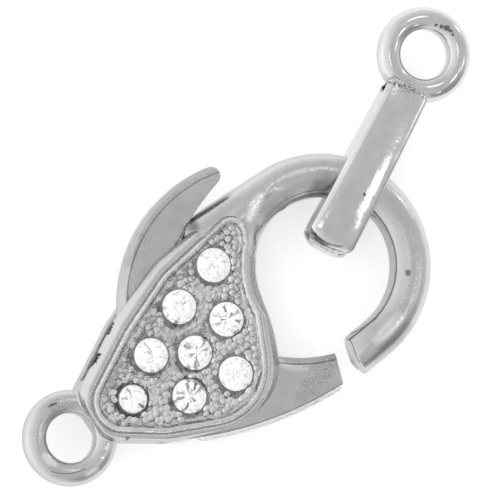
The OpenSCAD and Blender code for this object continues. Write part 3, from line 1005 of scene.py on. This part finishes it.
def castFinish(name, look):
    mat, finish, shader = newFinish(name, Metallic=1)
    place = finish.add("TexCoord", {}, {}, "Object")
    here = finish.parts(place)
    x, y, z = here
    normal = finish.add("NewGeometry", {}, {}, "Normal")
    drift = finish.noise(place, look["driftSize"], 4)
    cloud = finish.noise(place, look["driftSize"] * 4, 3)
    fine = finish.noise(place, look["grainSize"], 2)
    speck = finish.noise(place, look["grainSize"] * 2, 2)
    ripple = finish.noise(place, look["rippleSize"], 3)
    swing = look["toneSwing"]
    tone = look["tone"] * (1 + swing * (drift - 0.5) * 2 + swing * (cloud - 0.5))
    rough = look["rough"] + look["roughSwing"] * (cloud - 0.5) * 2
    height = fine * look["grainHeight"] + ripple * look["rippleHeight"]
    facing = finish.add("SeparateXYZ", {}, {0: normal}, "Z").size()
    tone = tone * finish.spread(facing, (0, look["paintedSideShade"]), (0.55, 1))  # painted shade, darker down the upright sides
    if "sawn" in look:
        end, pale, rougher = look["sawn"]
        ahead = finish.add("SeparateXYZ", {}, {0: normal}, "X")
        saw = (0 - ahead > marks["facingEnd"]) * (1 - (x > end))
        tone = tone * (1 + saw * pale)
        rough = rough + saw * rougher
    if "hollow" in look:  # painted shade: darker where the surface lies low
        low, high, stops = look["hollow"]
        tone = tone * finish.spread((z - low) / (high - low), *stops)
    if "paintedLightCollar" in look:  # painted light: paler close around the stones, lifting their shade, up to a thin dark seat line
        width, pale = look["paintedLightCollar"]
        for stone in stoneNames:
            centre, radius = seatOf(stone)
            away = finish.reach(x - centre.x, y - centre.y) - radius
            tone = tone * (1 + finish.spread(away / width, (0.08, 0), (0.25, 1), (1, 0)) * pale)
    if "veins" in look:  # casting wrinkles in the field's smoother part
        veins = look["veins"]
        noise = {"Vector": place, "Scale": veins["size"] * 0.7, "Detail": 2}
        bend = finish.add("TexNoise", {}, noise, "Color")
        bend = finish.add("VectorMath", {"operation": "SCALE"}, {0: bend, "Scale": veins["bend"]})
        bent = finish.add("VectorMath", {"operation": "ADD"}, {0: place, 1: bend})
        cells = {"Vector": bent, "Scale": veins["size"]}
        cells = finish.add("TexVoronoi", {"feature": "DISTANCE_TO_EDGE"}, cells, "Distance")
        vein = finish.spread(cells, (0.015, 1), (0.06, 0)) * finish.spread(drift, (0.42, 0), (0.52, 1))
        slope, lowest = beads["lowHalf"]
        vein = vein * (y - x * slope > lowest) * (1 - (z > veins["below"]))
        tone = tone * (1 - vein * veins["dark"])
        height = height - vein * veins["deep"]
    # painted shade and painted highlights, as soft spots
    for spots, dark in look.get("paintedShadeAndHighlights", []):
        rag = 0.5 + (cloud - 0.5) * marks["shadeRag"]
        tone = tone * (1 - spotsOver(finish, here, spots, rag, marks["shadeEdge"]) * dark)
    # pits, and painted shade for the flank's slot openings
    for spots, dark, deep in look.get("pitsAndSlotShade", []):
        holes = spotsOver(finish, here, spots, fine, marks["spotEdge"])
        tone = tone * (1 - holes * dark)
        rough = rough + holes * marks["pitRough"]
        height = height - holes * deep
    # fine lines, most of them painted shade along creases or painted reflections, the paler ones painted
    # highlights
    for px, py, radius, width, low, high, dark, *most in look.get("arcs", []):
        away = (finish.reach(x - px, y - py) - radius).size() - (fine - 0.5) * marks["arcRag"]
        line = finish.spread(away / (width * 2), *marks["arcEdge"])
        line = line * (y > low) * (1 - (y > high)) * (z > 0)
        if most:
            line = line * (1 - (x > most[0]))
        tone = tone * (1 - line * dark)
        height = height - line * marks["arcDeep"]
    for spots, dark, deep in look.get("patches", []):
        worn = spotsOver(finish, here, spots, cloud, marks["patchEdge"])
        worn = worn * finish.spread(speck, *marks["patchGrain"])
        tone = tone * (1 - worn * dark)
        height = height - worn * deep
    bump = finish.add("Bump", {}, {"Height": height, "Distance": 1, "Strength": 1})
    finish.feed(shader.inputs["Base Color"], finish.grey(tone, 1.005))
    finish.feed(shader.inputs["Roughness"], rough)
    finish.feed(shader.inputs["Normal"], bump)
    return mat


brightLook = {
    "tone": 0.66,
    "paintedSideShade": 0.78,
    "toneSwing": 0.12,
    "driftSize": 300,
    "rough": 0.12,
    "roughSwing": 0.06,
    "grainSize": 4200,
    "grainHeight": 0.000003,
    "rippleSize": 420,
    "rippleHeight": 0.00004,
    "pitsAndSlotShade": [
        ([(40.92, 10.13, 0.1), (41.2, 9.8, 0.13), (41.5, 9.5, 0.22), (41.62, 9.15, 0.14),
          (41.6, 8.8, 0.1), (28.79, 2.74, 0.13)], 0.75, 0.00005),
        ([(35.3, 8.6, 0.09), (35.47, 8.3, 0.1), (35.7, 8.0, 0.1), (36.05, 7.8, 0.09),
          (36.36, 7.5, 0.11), (36.52, 7.1, 0.1), (36.68, 6.7, 0.08), (36.8, 6.3, 0.08)], 0.55, 0.00004),
    ],
    "patches": [([(36.36, 7.49, 0.7), (35.5, 8.3, 0.6)], 0.3, 0.00001)],
    # painted reflection: dark nested lines on the band's free end
    "arcs": [(26.86, 2.84, 2.92, 0.09, 0.4, 2.75, 0.5, 27),
             (26.80, 2.84, 2.98, 0.13, 1.1, 2.7, 0.5, 27)],
}

steelLook = {
    "tone": 0.62,
    "paintedSideShade": 0.85,
    "toneSwing": 0.15,
    "driftSize": 900,
    "rough": 0.2,
    "roughSwing": 0.08,
    "grainSize": 8000,
    "grainHeight": 0.000006,
    "rippleSize": 2500,
    "rippleHeight": 0.000006,
}

fieldLook = {
    "tone": 0.68,
    "paintedSideShade": 0.8,
    "toneSwing": 0.2,
    "driftSize": 500,
    "rough": 0.26,
    "roughSwing": 0.1,
    "grainSize": 5000,
    "grainHeight": 0.00002,
    "rippleSize": 2600,
    "rippleHeight": 0.00013,
    # painted shade in the hollows: heights in mm, and the share of the tone between them
    "hollow": (1.80, 2.0, [(0, 0.4), (0.2, 0.62), (0.3, 0.86), (0.5, 1)]),
    "paintedLightCollar": (0.3, 0.35),  # painted light: width in mm, and how much paler
    "veins": {"size": 1250, "bend": 0.0004, "dark": 0.34, "deep": 0.00002, "below": 2.1},
}


glass = {
    "white": 0.93,
    "glow": 0.27,  # painted glow, emission standing in for light thrown back by the foil behind a stone
    "sectors": 25,
    "rings": 2.5,
    "haze": 1900,  # noise scale, per metre
    "hazeSwing": (0.35, 1.2),  # how far it moves the borders of rings and sectors
    "slivers": {"stone_3": 0.1, "stone_5": 0.2, "stone_7": 0.2},  # share of dark facets, painted reflections
    "usual": 0.025,  # the same in the other stones
    "speckle": 4800,
    "speckleTones": [(0.36, 0.66), (0.45, 0.95), (0.6, 1)],
    "darkRing": {"stone_8": 0.16},  # painted shade at the stone's edge: share of the radius
    "usualRing": 0.04,
}


def stoneFinish(name):
    mat, finish, shader = newFinish(name + "_glass", Roughness=0.08, IOR=1.6,
                                    Emission_Strength=glass["glow"])
    centre, radius = seatOf(name)
    place = finish.add("TexCoord", {}, {}, "Object")
    x, y, z = finish.parts(place)
    x, y = (x - centre.x) / radius, (y - centre.y) / radius
    haze = finish.noise(place, glass["haze"], 3)
    ringSwing, sectorSwing = glass["hazeSwing"]
    away = finish.reach(x, y)
    # painted reflections: rings and sectors of facets, each with its own grey
    ring = ((away + (haze - 0.5) * ringSwing) * glass["rings"]).floor()
    sector = finish.math("ARCTAN2", y, x) * (glass["sectors"] / math.tau)
    sector = (sector + ring * 0.5 + (haze - 0.5) * sectorSwing).floor()
    seed = {"W": sector * 7 + ring * 31 + centre.x}
    facet = finish.add("TexWhiteNoise", {"noise_dimensions": "1D"}, seed, "Value")
    share = glass["slivers"].get(name, glass["usual"])
    tone = finish.spread(facet, (0, 0.2), (share, 0.55), (share + 0.06, 0.93), (1, 1))
    # grey speckle over the stone
    speckle = finish.noise(place, glass["speckle"], 3)
    tone = tone * finish.spread(speckle, *glass["speckleTones"]) * glass["white"]
    # painted shade: a dark ring at the stone's edge, wider to one side
    wide = glass["darkRing"].get(name, glass["usualRing"])
    tone = tone * finish.spread(away - wide * 0.3 * y, (1 - wide, 1), (1 - wide * 0.5, 0.1))
    finish.feed(shader.inputs["Base Color"], finish.grey(tone))
    # painted glow: the stone emits its own tones
    finish.feed(shader.inputs["Emission Color"], finish.grey(tone))
    return mat


def buildObject():
    bodyWay = ("clasp", "cast_metal", "body")
    linkWay = ("link", "bright_metal", "link")
    cast = castFinish("castSilver", castLook)
    bright = castFinish("mirrorSilver", brightLook)
    field = castFinish("fieldSilver", fieldLook)
    rough = remeshed(castingShape(), casting["voxel"], casting["rounds"])
    addPiece(roundTheRoot(rough), "housing", cast, *bodyWay)
    shape = hookArmShape()
    addPiece(shape, "hookArm", castFinish("armSilver", armLook), *bodyWay)
    shape, border, floor = rimShape()
    addPiece(shape, "rimAndField", field, *bodyWay)
    addPiece(beadShape(border, floor), "castBeads", field, *bodyWay)
    addPiece(eyeShape(), "tailEye", castFinish("eyeSilver", eyeLook), *bodyWay)
    worn = castFinish("leverSilver", leverLook)
    addPiece(leverShape(), "thumbLever", worn, "lever", "cast_metal", "lever")
    addPiece(placeLink(bandShape()), "linkBand", bright, *linkWay)
    addPiece(placeLink(solderShape()), "solderWrinkles", bright, *linkWay)
    shape = eyeShape()
    moveBy(shape, shape.verts, (link["reach"], 0, 0))
    addPiece(placeLink(shape), "linkRing", bright, *linkWay)
    for name in stoneNames:
        clear = stoneFinish(name)
        piece = addPiece(stoneShape(name), name + "_cut", clear, "clasp", "cut_glass", name)
        piece.data.polygons.foreach_set("use_smooth", [False] * len(piece.data.polygons))
    steel = castFinish("springSteel", steelLook)
    for name in ("pivot_pin", "spring"):
        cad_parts[name].data.materials.clear()
        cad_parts[name].data.materials.append(steel)


table = {
    "half": 0.6,  # half its width, m
    "shift": 0.02,
    "under": 0.00001,  # m under the object
    "white": 0.95,
    "gloss": 0.1,
    "glow": 0.42,  # a light table, so that the shadows stay pale
}


def addFloor():
    mesh = bpy.data.meshes.new("floor")
    shape = bmesh.new()
    bmesh.ops.create_grid(shape, x_segments=1, y_segments=1, size=table["half"])
    low = cadBox[0][2] - table["under"]
    moveBy(shape, shape.verts, (table["shift"], 0, low))
    shape.to_mesh(mesh)
    floor = newObject("floor", mesh)
    white = table["white"]
    paper = newFinish("floorPaper", Base_Color=(white, white, white, 1), Emission_Color=(1, 1, 1, 1),
                      Specular_IOR_Level=table["gloss"], Emission_Strength=table["glow"])
    floor.data.materials.append(paper[0])
    print("floor laid")


studio = {
    # brightness from the horizon up
    "sky": [(0.0, 1.15), (0.25, 0.95), (0.55, 0.80), (0.85, 0.70), (1.0, 0.68)],
    "brightSide": 150,  # direction of the brighter side, degrees about Z
    "brightHeight": 35,
    "brightSpread": [(0.55, 0), (0.9, 0.28)],
    "skyTurn": 13,  # degrees that the grey top is turned away from the camera
    "darkSide": -79,  # direction of the dark side, degrees about Z
    "darkHeight": 22,  # degrees above the horizon
    "darkSpread": [(0.80, 0), (0.97, 0.55)],
    "boxes": [  # direction and height in degrees, size and distance in mm, watts
        (125, 82, 66, 500, 0.014),
        (-42, 62, 46, 500, 0.022),
        (36, 63, 100, 500, 0.035),
        (-36, 44, 90, 500, 0.022),
        (-84, 42, 60, 500, 0.015),
        (0, 20, 60, 500, 0.04),
    ],
}


def direction(turn, height):
    turn, height = math.radians(turn), math.radians(height)
    flat = math.cos(height)
    return Vector((math.cos(turn) * flat, math.sin(turn) * flat, math.sin(height)))


def addLight():
    world = bpy.data.worlds.new("studio")
    world.use_nodes = True
    bpy.context.scene.world = world
    sky = Finish(world.node_tree)
    ray = sky.add("TexCoord", {}, {}, "Generated")
    overhead = direction(camera["leanSide"] - camera["axisTurn"] + 180, 90 - studio["skyTurn"])
    up = sky.along(ray, overhead)
    dark = sky.along(ray, direction(studio["darkSide"], studio["darkHeight"]))
    bright = sky.along(ray, direction(studio["brightSide"], studio["brightHeight"]))
    light = sky.spread(up, *[(place, tone / 2) for place, tone in studio["sky"]]) * 2
    light = light * (1 - sky.spread(dark, *studio["darkSpread"]))
    light = light + sky.spread(bright, *studio["brightSpread"])
    background = world.node_tree.nodes["Background"]
    background.inputs["Color"].default_value = (1, 1, 1, 1)
    sky.feed(background.inputs["Strength"], light)
    middle = (Vector(cadBox[0]) + Vector(cadBox[1])) / 2
    for turn, height, size, distance, watts in studio["boxes"]:
        data = bpy.data.lights.new("softbox", "AREA")
        data.shape = "DISK"
        data.size = size * mm
        data.energy = watts
        box = newObject("softbox", data)
        toward = direction(turn, height)
        box.location = middle + toward * distance * mm
        box.rotation_euler = toward.to_track_quat("Z", "Y").to_euler()
    bpy.context.scene.view_settings.view_transform = "Standard"
    print("lights set")


buildObject()
addCamera()
addFloor()
addLight()
